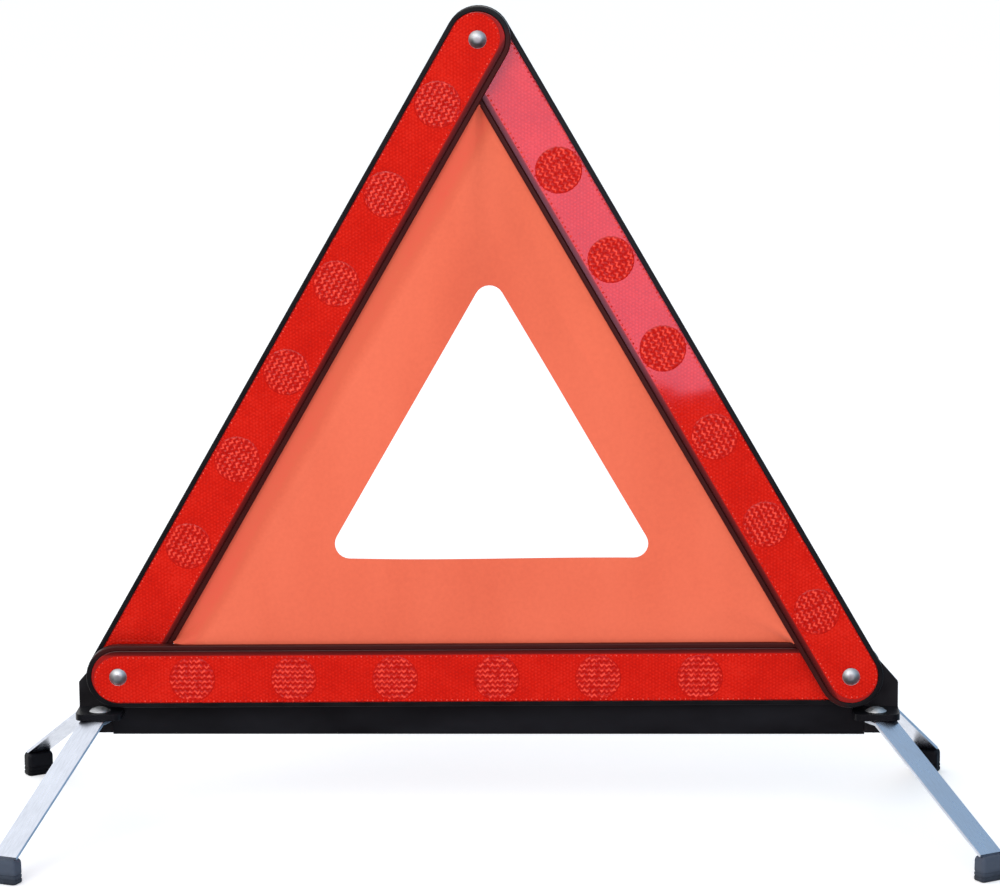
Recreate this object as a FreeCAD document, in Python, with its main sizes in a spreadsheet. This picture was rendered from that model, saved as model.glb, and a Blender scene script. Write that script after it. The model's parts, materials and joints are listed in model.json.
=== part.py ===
import FreeCAD, Part
import math
import os
import Sketcher

# Folding warning triangle on four swing-out legs. Millimetres, +X to the right seen from the front,
# +Y to the rear, +Z up. The origin is on the ground under the middle of the base channel.
#
# The three bars overlap in turn: each bar is the front one at its own rivet and the rear one where it
# meets the next bar, so every bar leans back by one layer along its length.

DIMENSIONS = [
    ("rivet_spacing", 400),
    ("rivet_height", 89),
    ("bars_across", -1.5),
    ("bar_setback", 15.2),
    ("layer_step", 7.5),
    ("bar_width", 35),
    ("bar_thickness", 5.5),
    ("rim", 2.7),
    ("lens_thickness", 2.4),
    ("prism_thickness", 1.2),
    ("lens_clearance", 0.1),
    ("pin_radius", 2),
    ("pin_clearance", 0.5),
    ("hook_flare_up", 7),
    ("hook_flare_down", 1),
    ("head_radius", 4.8),
    ("head_height", 2.4),
    ("head_clearance", 0.15),
    ("tail_radius", 3.8),
    ("tail_height", 1.2),
    ("tail_gap", 0.3),
    ("washer_radius", 5),
    ("washer_thickness", 1),
    ("washer_gap", 0.35),
    ("channel_half_length", 207),
    ("channel_depth", 14),
    ("channel_height", 19.9),
    ("channel_wall", 1.5),
    ("channel_bottom", 52.6),
    ("channel_round", 2),
    ("web_thickness", 2.5),
    ("web_inner_end", 176),
    ("web_top", 107.5),
    ("web_shoulder", 203.7),
    ("web_corner", 82.7),
    ("plug_length", 20),
    ("plug_clearance", 0.2),
    ("cap_end", 217),
    ("cap_rise", 1.3),
    ("bracket_foot", 2.5),
    ("rib_thickness", 2),
    ("rib_height", 11),
    ("plate_wing_end", 200),
    ("plate_inner_end", 207.4),
    ("plate_outer_end", 225.2),
    ("plate_half_depth", 27),
    ("plate_bottom", 65.4),
    ("plate_thickness", 3.6),
    ("plate_clearance", 0.4),
    ("plate_corner", 5),
    ("pivot_across", 212.5),
    ("pivot_back", 18),
    ("leg_width", 14),
    ("leg_thickness", 1.8),
    ("leg_gap", 0.2),
    ("leg_flat", 9),
    ("leg_reach", 103.5),
    ("leg_slope", 28.2),
    ("leg_splay", 63),
    ("leg_skew", 5),
    ("foot_length", 9),
    ("foot_width", 15.8),
    ("foot_height", 13.4),
    ("foot_sole", 2),
    ("foot_round", 1.8),
    ("leg_pin_radius", 2.5),
    ("leg_head_radius", 5.8),
    ("leg_tail_radius", 4.4),
    ("small_pin_radius", 1.6),
    ("small_head_radius", 3),
    ("small_head_height", 1.4),
    ("sheet_thickness", 0.8),
    ("sheet_margin", 0.6),
    ("cutout_side", 182),
    ("cutout_round", 8),
    ("cutout_across", 4.8),
    ("cutout_up", 2.2),
]

doc = FreeCAD.newDocument("WarningTriangle")
sheet = doc.addObject("Spreadsheet::Sheet", "dims")
for row, (alias, number) in enumerate(DIMENSIONS, start=1):
    sheet.set(f"A{row}", alias)
    sheet.set(f"B{row}", str(number))
    sheet.setAlias(f"B{row}", alias)
doc.recompute()

nodes = []


def dim(alias):
    """The number in a driving cell."""
    return float(sheet.get(alias))


def keep(obj, label, placement=None):
    """Name a finished sub-part, put it in its place and list it for export."""
    obj.Label = label
    if placement is not None:
        obj.Placement = placement
    nodes.append(obj)
    return obj


def bind(obj, **expressions):
    """Bind properties to expressions of the driving cells; x, y and z are the position."""
    for name, expression in expressions.items():
        target = f".Placement.Base.{name}" if name in ("x", "y", "z") else name
        obj.setExpression(target, expression)
    return obj


# --- solids made from primitives; every argument is an expression of the driving cells ------------

def block(name, x0, x1, y0, y1, z0, z1):
    """A box between two corners."""
    box = doc.addObject("Part::Box", name)
    return bind(box, Length=f"({x1}) - ({x0})", Width=f"({y1}) - ({y0})", Height=f"({z1}) - ({z0})",
                x=x0, y=y0, z=z0)


def rod(name, radius, x, y, z0, z1):
    """An upright cylinder."""
    cylinder = doc.addObject("Part::Cylinder", name)
    return bind(cylinder, Radius=radius, Height=f"({z1}) - ({z0})", x=x, y=y, z=z0)


def dome(name, radius, height, x, y, z):
    """A domed cap of a sphere, standing on its flat face."""
    ball = doc.addObject("Part::Sphere", name)
    full = f"(({radius})^2 + ({height})^2) / (2 * ({height}))"
    return bind(ball, Radius=full, Angle1=f"asin(1 - ({height}) / ({full}))",
                x=x, y=y, z=f"({z}) + ({height}) - ({full})")


def join(name, parts):
    """The union of several solids."""
    union = doc.addObject("Part::MultiFuse", name)
    union.Shapes = parts
    union.Refine = True
    return union


def cut(name, base, tools):
    """The base solid with the tools taken away."""
    difference = doc.addObject("Part::Cut", name)
    difference.Base = base
    difference.Tool = tools[0] if len(tools) == 1 else join(f"{name}_tools", tools)
    difference.Refine = True
    return difference


def group(name, solids):
    """Separate solids that share one node."""
    compound = doc.addObject("Part::Compound", name)
    compound.Links = solids
    return compound


def stadium(name, half_width, z0, z1):
    """A flat bar with round ends, centred on the rivets at both ends of a bar."""
    middle = block(f"{name}_middle", "0", BAR_LENGTH, f"-({half_width})", half_width, z0, z1)
    front = rod(f"{name}_front", half_width, "0", "0", z0, z1)
    rear = rod(f"{name}_rear", half_width, BAR_LENGTH, "0", z0, z1)
    return join(name, [middle, front, rear])


def rivet(name, radius, head, head_height, tail, x, y, top, bottom):
    """A domed rivet whose head stands on z = top and whose tail starts at z = bottom."""
    return join(name, [
        dome(f"{name}_head", head, head_height, x, y, top),
        rod(f"{name}_shank", radius, x, y, bottom, top),
        rod(f"{name}_tail", tail, x, y, f"({bottom}) - dims.tail_height", bottom),
    ])


# --- sketched solids ------------------------------------------------------------------------------

def outline(body, name, plane_role, corners):
    """A closed sketch of straight sides on an origin plane of its body."""
    sketch = body.newObject("Sketcher::SketchObject", name)
    plane = next(item for item in body.Origin.OriginFeatures if item.Role == plane_role)
    sketch.AttachmentSupport = [(plane, "")]
    sketch.MapMode = "FlatFace"
    count = len(corners)
    turn = 2 * math.pi / count
    start = [FreeCAD.Vector(10 * math.cos(turn * i), 10 * math.sin(turn * i), 0) for i in range(count)]
    for i in range(count):
        sketch.addGeometry(Part.LineSegment(start[i], start[(i + 1) % count]), False)
    for i in range(count):
        sketch.addConstraint(Sketcher.Constraint("Coincident", i, 2, (i + 1) % count, 1))
    for i, (across, up) in enumerate(corners):
        for kind, begin, expression in (("DistanceX", start[i].x, across), ("DistanceY", start[i].y, up)):
            index = sketch.addConstraint(Sketcher.Constraint(kind, -1, 1, i, 1, begin))
            sketch.setExpression(f"Constraints[{index}]", expression)
    return sketch


def disc(body, name, plane_role, radius, across, up):
    """A sketched circle on an origin plane of its body."""
    sketch = body.newObject("Sketcher::SketchObject", name)
    plane = next(item for item in body.Origin.OriginFeatures if item.Role == plane_role)
    sketch.AttachmentSupport = [(plane, "")]
    sketch.MapMode = "FlatFace"
    sketch.addGeometry(Part.Circle(FreeCAD.Vector(1, 1, 0), FreeCAD.Vector(0, 0, 1), 5), False)
    for kind, point, begin, expression in (("DistanceX", 3, 1, across), ("DistanceY", 3, 1, up)):
        index = sketch.addConstraint(Sketcher.Constraint(kind, -1, 1, 0, point, begin))
        sketch.setExpression(f"Constraints[{index}]", expression)
    index = sketch.addConstraint(Sketcher.Constraint("Radius", 0, 5))
    sketch.setExpression(f"Constraints[{index}]", radius)
    return sketch


def pad(body, name, sketch, length, midplane=False):
    """Extrude a sketch, on both sides of its plane when midplane is set."""
    feature = body.newObject("PartDesign::Pad", name)
    feature.Profile = sketch
    feature.setExpression("Length", length)
    feature.SideType = "Symmetric" if midplane else "One side"
    body.Tip = feature
    return feature


def drill(body, name, sketch):
    """Cut a sketch right through the body both ways."""
    feature = body.newObject("PartDesign::Pocket", name)
    feature.Profile = sketch
    feature.SideType = "Symmetric"
    feature.Type = "ThroughAll"
    body.Tip = feature
    return feature


def soften(body, name, base, radius, wanted):
    """Fillet the edges of the base feature that pass the test."""
    doc.recompute()
    picked = [f"Edge{i}" for i, edge in enumerate(base.Shape.Edges, start=1) if wanted(edge)]
    feature = body.newObject("PartDesign::Fillet", name)
    feature.Base = (base, picked)
    feature.setExpression("Radius", radius)
    body.Tip = feature
    return feature


def runs_along(edge, axis):
    """Whether a straight edge is parallel to an axis."""
    if not isinstance(edge.Curve, Part.Line):
        return False
    return abs(edge.Curve.Direction.dot(axis)) > 0.999


X_AXIS = FreeCAD.Vector(1, 0, 0)
Y_AXIS = FreeCAD.Vector(0, 1, 0)
Z_AXIS = FreeCAD.Vector(0, 0, 1)

# --- the three bars ---------------------------------------------------------------------------------
# A bar lies in its own frame: x along it from its front rivet to its rear rivet, y towards the inside
# of the triangle, z towards the viewer, with the middle of its thickness at z = 0.

BAR_LENGTH = "sqrt(dims.rivet_spacing^2 + dims.layer_step^2)"
BAR_FACE = "dims.bar_thickness / 2"
LENS_HALF = "(dims.bar_width / 2 - dims.rim)"
LENS_BACK = f"({BAR_FACE} - dims.lens_thickness)"
PRISM_BACK = f"({LENS_BACK} - dims.prism_thickness)"
HINGE_HOLE = "dims.pin_radius + dims.pin_clearance"
BELOW = f"-({BAR_FACE}) - 1"
ABOVE = f"({BAR_FACE}) + 1"


def bar_placement(turn):
    """Place a bar whose direction is turned by this many degrees from +X, seen from the front."""
    lean = dim("layer_step") / dim("rivet_spacing")
    along = FreeCAD.Vector(math.cos(math.radians(turn)), lean, math.sin(math.radians(turn)))
    tilt = math.radians(turn - 60)
    normal = FreeCAD.Vector(2 * lean * math.cos(tilt), -1, 2 * lean * math.sin(tilt))
    corner = math.radians(turn - 150)
    reach = dim("rivet_spacing") / math.sqrt(3)
    front_rivet = FreeCAD.Vector(
        dim("bars_across") + reach * math.cos(corner),
        -dim("bar_setback") - dim("layer_step") / 2,
        dim("rivet_height") + reach / 2 + reach * math.sin(corner))
    return FreeCAD.Placement(front_rivet, FreeCAD.Rotation(along, normal.cross(along), normal, "ZXY"))


def hook_slot(name):
    """The tapered mouth that lets a bar slide sideways off the rivet at its rear end."""
    wedge = doc.addObject("Part::Wedge", name)
    wide = HINGE_HOLE
    return bind(wedge, Xmin=f"{BAR_LENGTH} - ({wide})", Xmax=f"{BAR_LENGTH} + {wide}",
                X2min=f"{BAR_LENGTH} - ({wide}) - dims.hook_flare_up",
                X2max=f"{BAR_LENGTH} + {wide} + dims.hook_flare_down",
                Ymin="0", Ymax="dims.bar_width / 2 + 1",
                Zmin=BELOW, Zmax=ABOVE, Z2min=BELOW, Z2max=ABOVE)


def bar_cuts(name, hooked):
    """The rivet holes of a bar, and its hook slot if it has one."""
    cuts = [
        rod(f"{name}_front_hole", HINGE_HOLE, "0", "0", BELOW, ABOVE),
        rod(f"{name}_rear_hole", HINGE_HOLE, BAR_LENGTH, "0", BELOW, ABOVE),
    ]
    if hooked:
        cuts.append(hook_slot(f"{name}_hook"))
    return cuts


def bar_housing(label, placement, hooked):
    """The black tray that carries the reflector."""
    tray = stadium(f"{label}_tray", "dims.bar_width / 2", f"-({BAR_FACE})", BAR_FACE)
    recess = stadium(f"{label}_recess", LENS_HALF, PRISM_BACK, ABOVE)
    keep(cut(f"{label}_cut", tray, [recess] + bar_cuts(label, hooked)), label, placement)


def bar_insert(label, placement, hooked, back, face):
    """A flat piece that fills the tray's recess between two depths."""
    plate = stadium(f"{label}_plate", f"{LENS_HALF} - dims.lens_clearance", back, face)
    keep(cut(f"{label}_cut", plate, bar_cuts(label, hooked)), label, placement)


def reflector_bar(side, turn, hooked=False):
    """Housing, prism plate and lens of one bar."""
    placement = bar_placement(turn)
    bar_housing(f"{side}_bar_housing", placement, hooked)
    bar_insert(f"{side}_bar_prism_plate", placement, hooked, PRISM_BACK, LENS_BACK)
    bar_insert(f"{side}_bar_lens", placement, hooked, LENS_BACK, BAR_FACE)


# --- corner rivets and washers, each along the front rivet of its bar -------------------------------

FRONT_BAR_BACK = f"(-({BAR_FACE}))"
REAR_BAR_BACK = f"(-({BAR_FACE}) - dims.layer_step)"
WEB_BACK = "(dims.channel_depth / 2 - dims.web_thickness - dims.bar_setback - dims.layer_step / 2)"


def corner_rivet(label, turn, bottom):
    """A domed rivet through two bars, and through the bracket behind them at the base."""
    body = rivet(f"{label}_rivet", "dims.pin_radius", "dims.head_radius", "dims.head_height",
                 "dims.tail_radius", "0", "0", f"{BAR_FACE} + dims.head_clearance",
                 f"{bottom} - dims.tail_gap")
    keep(body, label, bar_placement(turn))


def washer(name, top):
    """A flat ring that keeps two layers apart."""
    ring = rod(f"{name}_ring", "dims.washer_radius", "0", "0", f"{top} - dims.washer_thickness", top)
    hole = rod(f"{name}_hole", HINGE_HOLE, "0", "0", f"{top} - dims.washer_thickness - 1", f"{top} + 1")
    return cut(name, ring, [hole])


def base_washers():
    """The two washers on each lower rivet: between the bars, and between bar and bracket."""
    rings = []
    for side, turn in (("left", 0), ("right", 120)):
        for place, top in (("front", FRONT_BAR_BACK), ("rear", REAR_BAR_BACK)):
            ring = washer(f"{side}_{place}_washer", f"{top} - dims.washer_gap")
            ring.Placement = bar_placement(turn)
            rings.append(ring)
    keep(group("base_washer_group", rings), "base_corner_washers")


# --- base: channel, end brackets, leg plates --------------------------------------------------------

CHANNEL_TOP = "(dims.channel_bottom + dims.channel_height)"
PLATE_TOP = "(dims.plate_bottom + dims.plate_thickness)"
PLUG_GAP = "(dims.channel_wall + dims.plug_clearance)"
PLUG_DEEP = f"(dims.channel_depth / 2 - {PLUG_GAP})"
FOOT_TOP = f"({PLATE_TOP} + dims.bracket_foot)"
CAP_BOTTOM = "(dims.channel_bottom + dims.cap_rise)"


def base_channel():
    """The square tube that joins the two ends of the base."""
    body = doc.addObject("PartDesign::Body", "channel_body")
    half, wall = "dims.channel_depth / 2", "dims.channel_wall"
    section = outline(body, "channel_section", "YZ_Plane", [
        (f"-{half}", "dims.channel_bottom"), (half, "dims.channel_bottom"),
        (half, CHANNEL_TOP), (f"-{half}", CHANNEL_TOP)])
    tube = pad(body, "channel_pad", section, "2 * dims.channel_half_length", midplane=True)
    rounded = soften(body, "channel_round_edges", tube, "dims.channel_round",
                     lambda edge: runs_along(edge, X_AXIS))
    doc.recompute()
    solid_volume = rounded.Shape.Volume
    bore = outline(body, "channel_bore", "YZ_Plane", [
        (f"{wall} - {half}", f"dims.channel_bottom + {wall}"),
        (f"{half} - {wall}", f"dims.channel_bottom + {wall}"),
        (f"{half} - {wall}", f"{CHANNEL_TOP} - {wall}"),
        (f"{wall} - {half}", f"{CHANNEL_TOP} - {wall}")])
    drill(body, "channel_hollow", bore)
    doc.recompute()
    assert body.Shape.Volume < solid_volume / 2, "the channel was not hollowed"
    keep(body, "base_channel")


def sided(side, low, high):
    """An interval across the part on one side of the middle, in rising order."""
    return (low, high) if side > 0 else (f"-({high})", f"-({low})")


def end_bracket(label, side):
    """The moulded ear behind a lower corner: web, foot, plug and cap for the channel, and two ribs."""
    web_front = "-dims.channel_depth / 2"
    web_back = f"{web_front} + dims.web_thickness"
    web = doc.addObject("PartDesign::Body", f"{label}_web")
    profile = [
        ("dims.web_inner_end", CHANNEL_TOP),
        ("dims.web_inner_end", f"{CHANNEL_TOP} + dims.bracket_foot * 3"),
        ("dims.rivet_spacing / 2 - dims.washer_radius", "dims.web_top"),
        ("dims.web_shoulder", "dims.web_top"),
        ("dims.plate_outer_end", "dims.web_corner"),
        ("dims.plate_outer_end", PLATE_TOP),
        ("dims.plate_inner_end", PLATE_TOP),
        ("dims.plate_inner_end", CHANNEL_TOP),
    ]
    sketch = outline(web, f"{label}_outline", "XZ_Plane",
                     [(f"{side} * ({across})", up) for across, up in profile])
    plate = pad(web, f"{label}_pad", sketch, "dims.web_thickness", midplane=True)
    soften(web, f"{label}_round_corners", plate, "dims.bracket_foot / 2",
           lambda edge: runs_along(edge, Y_AXIS))
    hole = disc(web, f"{label}_hole_sketch", "XZ_Plane", "dims.pin_radius + 2 * dims.pin_clearance",
                f"{side} * dims.rivet_spacing / 2 + dims.bars_across", "dims.rivet_height")
    drill(web, f"{label}_rivet_hole", hole)
    bind(web, y=f"({web_front} + {web_back}) / 2")

    foot_ends = sided(side, "dims.plate_inner_end", "dims.plate_outer_end")
    plug_ends = sided(side, "dims.channel_half_length - dims.plug_length",
                      "dims.plate_inner_end - dims.plug_clearance")
    cap_ends = sided(side, "dims.channel_half_length + dims.plug_clearance / 2", "dims.cap_end")
    neck_ends = sided(side, "dims.plate_inner_end - 1", "dims.pivot_across")
    plug_top = f"{CHANNEL_TOP} - {PLUG_GAP}"
    solids = [
        web,
        block(f"{label}_foot", *foot_ends, web_front, "dims.channel_depth / 2", PLATE_TOP, FOOT_TOP),
        block(f"{label}_plug", *plug_ends, f"-{PLUG_DEEP}", PLUG_DEEP,
              f"dims.channel_bottom + {PLUG_GAP}", plug_top),
        block(f"{label}_neck", *neck_ends, f"-{PLUG_DEEP}", PLUG_DEEP, PLATE_TOP, plug_top),
        block(f"{label}_cap", *cap_ends, web_front, "dims.channel_depth / 2", CAP_BOTTOM,
              "dims.plate_bottom"),
    ]
    for index, start in enumerate(("dims.plate_inner_end",
                                   "dims.plate_outer_end - 1.5 * dims.rib_thickness")):
        low, high = sided(side, start, f"{start} + dims.rib_thickness")
        rib = doc.addObject("Part::Wedge", f"{label}_rib_{index}")
        rib.Placement.Rotation = FreeCAD.Rotation(X_AXIS, 90)
        bind(rib, Xmin=low, Xmax=high, X2min=low, X2max=high, Ymin=FOOT_TOP,
             Ymax=f"{FOOT_TOP} + dims.rib_height", Zmin=f"-{PLUG_DEEP}", Zmax=f"-({web_back}) + 0.5",
             Z2min=f"-({web_back}) - 0.5", Z2max=f"-({web_back}) + 0.5")
        solids.append(rib)
    bolt_hole = rod(f"{label}_bolt_hole", "dims.small_pin_radius", f"{side} * dims.pivot_across", "0",
                    f"{CAP_BOTTOM} - 1", f"{FOOT_TOP} + 1")
    keep(cut(f"{label}_cut", join(f"{label}_body", solids), [bolt_hole]), label)


def leg_plate(label, side):
    """The coated plate between a bracket's foot and cap, notched for the channel, for two leg pivots."""
    body = doc.addObject("PartDesign::Body", f"{label}_body")
    inner, outer = f"{side} * dims.plate_inner_end", f"{side} * dims.plate_outer_end"
    wing = f"{side} * dims.plate_wing_end"
    half, notch = "dims.plate_half_depth", "(dims.channel_depth / 2 + dims.plate_clearance)"
    sketch = outline(body, f"{label}_outline", "XY_Plane", [
        (wing, f"-{half}"), (outer, f"-{half}"), (outer, half), (wing, half),
        (wing, notch), (inner, notch), (inner, f"-{notch}"), (wing, f"-{notch}")])
    flat = pad(body, f"{label}_pad", sketch, "dims.plate_thickness")
    soften(body, f"{label}_round_corners", flat, "dims.plate_corner",
           lambda edge: runs_along(edge, Z_AXIS) and abs(edge.CenterOfMass.y) > dim("pivot_back"))
    across = f"{side} * dims.pivot_across"
    for place, radius, up in (("front", "dims.leg_pin_radius", "-dims.pivot_back"),
                              ("rear", "dims.leg_pin_radius", "dims.pivot_back"),
                              ("middle", "dims.small_pin_radius", "0")):
        drill(body, f"{label}_{place}_hole",
              disc(body, f"{label}_{place}_circle", "XY_Plane", radius, across, up))
    bind(body, z="dims.plate_bottom")
    keep(body, label)


def plate_rivets():
    """One rivet each side that clamps a leg plate between the foot and the cap of its bracket."""
    rivets = [rivet(f"plate_rivet_{side}", "dims.small_pin_radius", "dims.small_head_radius",
                    "dims.small_head_height", "dims.small_head_radius", f"{side} * dims.pivot_across",
                    "0", FOOT_TOP, CAP_BOTTOM) for side in (-1, 1)]
    keep(group("plate_rivet_group", rivets), "bracket_rivets")


# --- legs ---------------------------------------------------------------------------------------------
# A leg lies in its own frame: the pivot on the z axis, x outwards along the leg, z up from the ground.

LEG_TOP = "(dims.plate_bottom - dims.leg_gap)"
LEG_BOTTOM = f"({LEG_TOP} - dims.leg_thickness)"


def leg_placement(side, end):
    """Place a leg on its pivot; the legs at opposite corners are splayed alike."""
    splay = dim("leg_splay") + side * end * dim("leg_skew")
    turn = math.degrees(math.atan2(end * math.sin(math.radians(splay)),
                                   side * math.cos(math.radians(splay))))
    pivot = FreeCAD.Vector(side * dim("pivot_across"), end * dim("pivot_back"), 0)
    return FreeCAD.Placement(pivot, FreeCAD.Rotation(Z_AXIS, turn))


def leg_strip(label, placement):
    """The flat steel strip: a round eye, a long slope and a short end bent down into the foot."""
    body = doc.addObject("PartDesign::Body", f"{label}_body")
    slope = "dims.leg_slope * 1deg"
    back_off = f"dims.leg_thickness * tan({slope} / 2)"
    drop = f"(dims.leg_reach - dims.leg_flat) * tan({slope})"
    under = f"dims.leg_thickness / cos({slope}) - dims.leg_thickness * tan({slope})"
    profile = outline(body, f"{label}_profile", "XZ_Plane", [
        ("0", LEG_TOP),
        ("dims.leg_flat", LEG_TOP),
        ("dims.leg_reach", f"{LEG_TOP} - {drop}"),
        ("dims.leg_reach", "dims.foot_sole"),
        ("dims.leg_reach - dims.leg_thickness", "dims.foot_sole"),
        ("dims.leg_reach - dims.leg_thickness", f"{LEG_TOP} - {drop} - ({under})"),
        (f"dims.leg_flat - {back_off}", LEG_BOTTOM),
        ("0", LEG_BOTTOM),
    ])
    pad(body, f"{label}_strip", profile, "dims.leg_width", midplane=True)
    eye = disc(body, f"{label}_eye_circle", "XY_Plane", "dims.leg_width / 2", "0", "0")
    bind(eye, **{"AttachmentOffset.Base.z": LEG_BOTTOM})
    pad(body, f"{label}_eye", eye, "dims.leg_thickness")
    hole = disc(body, f"{label}_hole_circle", "XY_Plane", "dims.leg_pin_radius + dims.pin_clearance",
                "0", "0")
    drill(body, f"{label}_pivot_hole", hole)
    keep(body, label, placement)


def leg_foot(label, placement):
    """The rubber shoe pressed on the end of a leg."""
    body = doc.addObject("PartDesign::Body", f"{label}_body")
    middle = "(dims.leg_reach - dims.leg_thickness / 2)"
    half_length, half_width = "dims.foot_length / 2", "dims.foot_width / 2"
    sketch = outline(body, f"{label}_outline", "XY_Plane", [
        (f"{middle} - {half_length}", f"-({half_width})"), (f"{middle} + {half_length}", f"-({half_width})"),
        (f"{middle} + {half_length}", half_width), (f"{middle} - {half_length}", half_width)])
    shoe = pad(body, f"{label}_pad", sketch, "dims.foot_height")
    soften(body, f"{label}_round_edges", shoe, "dims.foot_round",
           lambda edge: edge.BoundBox.ZMax > dim("foot_height") / 2)
    slot = block(f"{label}_slot", "dims.leg_reach - dims.leg_thickness", "dims.leg_reach",
                 "-dims.leg_width / 2", "dims.leg_width / 2", "dims.foot_sole", "dims.foot_height + 1")
    keep(cut(f"{label}_cut", body, [slot]), label, placement)


def leg_rivets():
    """The four domed rivets that the legs swing on."""
    rivets = []
    for side in (-1, 1):
        for end in (-1, 1):
            rivets.append(rivet(
                f"leg_rivet_{side}_{end}", "dims.leg_pin_radius", "dims.leg_head_radius",
                "dims.head_height", "dims.leg_tail_radius", f"{side} * dims.pivot_across",
                f"{end} * dims.pivot_back", PLATE_TOP, f"{LEG_BOTTOM} - dims.leg_gap"))
    keep(group("leg_rivet_group", rivets), "leg_pivot_rivets")


# --- fluorescent sheet --------------------------------------------------------------------------------

def triangle_corners(radius, across, up):
    """The corners of an upright equilateral triangle, from the distance of its centre to its sides."""
    return [(f"{across} - sqrt(3) * ({radius})", f"{up} - ({radius})"),
            (f"{across} + sqrt(3) * ({radius})", f"{up} - ({radius})"),
            (across, f"{up} + 2 * ({radius})")]


def fluorescent_sheet():
    """The sheet inside the bars, with a rounded triangular opening."""
    body = doc.addObject("PartDesign::Body", "sheet_body")
    centre = "(dims.rivet_height + dims.rivet_spacing / (2 * sqrt(3)))"
    inside = "dims.rivet_spacing / (2 * sqrt(3)) - dims.bar_width / 2 - dims.sheet_margin"
    outside = outline(body, "sheet_outline", "XZ_Plane", triangle_corners(inside, "dims.bars_across", centre))
    pad(body, "sheet_pad", outside, "dims.sheet_thickness", midplane=True)
    doc.recompute()
    full = body.Shape.Volume
    hole = outline(body, "sheet_opening", "XZ_Plane", triangle_corners(
        "dims.cutout_side / (2 * sqrt(3))", "dims.bars_across + dims.cutout_across",
        f"{centre} + dims.cutout_up"))
    opening = drill(body, "sheet_cutout", hole)
    height = dim("rivet_height") + dim("rivet_spacing") / (2 * math.sqrt(3))
    middle = FreeCAD.Vector(dim("bars_across") + dim("cutout_across"), 0, height + dim("cutout_up"))
    reach = dim("cutout_side") / math.sqrt(3) + 1
    soften(body, "sheet_cutout_round", opening, "dims.cutout_round",
           lambda edge: runs_along(edge, Y_AXIS) and edge.CenterOfMass.distanceToPoint(middle) < reach)
    doc.recompute()
    assert body.Shape.Volume < full, "the sheet has no opening"
    bind(body, y="-dims.bar_setback")
    keep(body, "fluorescent_sheet")


# --- the whole part -------------------------------------------------------------------------------------

base_channel()
for side_name, side_sign in (("left", -1), ("right", 1)):
    end_bracket(f"{side_name}_end_bracket", side_sign)
    leg_plate(f"{side_name}_leg_plate", side_sign)
plate_rivets()
leg_rivets()

reflector_bar("base", 0)
reflector_bar("right", 120)
reflector_bar("left", 240, hooked=True)
corner_rivet("lower_left_rivet", 0, WEB_BACK)
corner_rivet("lower_right_rivet", 120, WEB_BACK)
corner_rivet("apex_rivet", 240, REAR_BAR_BACK)
base_washers()
keep(washer("apex_washer_ring", f"{FRONT_BAR_BACK} - dims.washer_gap"), "apex_washer", bar_placement(240))

for end_name, end_sign in (("front", -1), ("rear", 1)):
    for side_name, side_sign in (("left", -1), ("right", 1)):
        place = leg_placement(side_sign, end_sign)
        leg_strip(f"{end_name}_{side_name}_leg", place)
        leg_foot(f"{end_name}_{side_name}_foot", place)
fluorescent_sheet()

doc.recompute()
faults = [item.Name for item in doc.Objects if {"Invalid", "Error"} & set(item.State)]
assert not faults, f"failed objects: {faults}"
for node in nodes:
    assert not node.Shape.isNull() and node.Shape.isValid(), f"bad shape: {node.Label}"

os.makedirs("parts", exist_ok=True)
for node in nodes:
    node.Shape.exportStep(f"parts/{node.Label}.step")
    box = node.Shape.BoundBox
    print(f"{node.Label}: {len(node.Shape.Solids)} solids, {node.Shape.Volume:.0f} mm3, "
          f"z {box.ZMin:.1f} to {box.ZMax:.1f}")
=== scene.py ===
import json
import math
import random

import bmesh
import bpy
from mathutils import Matrix, Vector


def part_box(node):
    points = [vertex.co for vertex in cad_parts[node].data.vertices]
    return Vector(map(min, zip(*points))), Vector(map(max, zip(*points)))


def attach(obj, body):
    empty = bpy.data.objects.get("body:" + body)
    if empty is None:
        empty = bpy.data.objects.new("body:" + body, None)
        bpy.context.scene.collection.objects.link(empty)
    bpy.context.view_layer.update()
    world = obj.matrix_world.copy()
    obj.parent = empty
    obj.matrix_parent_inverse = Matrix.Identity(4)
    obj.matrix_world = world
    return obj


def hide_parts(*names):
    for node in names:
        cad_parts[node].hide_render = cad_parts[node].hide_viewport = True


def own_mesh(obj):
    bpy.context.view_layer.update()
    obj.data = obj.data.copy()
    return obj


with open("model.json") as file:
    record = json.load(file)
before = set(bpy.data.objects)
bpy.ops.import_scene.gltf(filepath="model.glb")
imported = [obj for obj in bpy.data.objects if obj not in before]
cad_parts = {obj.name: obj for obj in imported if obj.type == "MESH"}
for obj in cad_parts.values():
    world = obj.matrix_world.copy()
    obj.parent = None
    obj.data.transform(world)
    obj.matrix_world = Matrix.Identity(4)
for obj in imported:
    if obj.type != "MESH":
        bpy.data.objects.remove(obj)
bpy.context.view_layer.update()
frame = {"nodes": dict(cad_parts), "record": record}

# A folding warning triangle: three overlapping reflector bars, a fluorescent sheet, a channel base
# with moulded brackets, and four swing-out steel legs. Metres, +X right, +Y to the rear, +Z up.

MM = 0.001
joints = {joint["name"]: joint for joint in frame["record"]["behaviour"]["joints"]}
RIGHT_PIN = Vector(joints["right_bar_fold"]["pos_m"])
APEX_PIN = Vector(joints["left_bar_swing"]["pos_m"])
FOLD_AXIS = Vector(joints["right_bar_fold"]["axis"])
SPACING = math.hypot(APEX_PIN.x - RIGHT_PIN.x, APEX_PIN.z - RIGHT_PIN.z)
LEAN = -FOLD_AXIS.x / FOLD_AXIS.y
LAYER_STEP = LEAN * SPACING
BAR_LENGTH = math.hypot(SPACING, LAYER_STEP)
BASE_TURN, RIGHT_TURN, LEFT_TURN = 0, 120, 240

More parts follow.
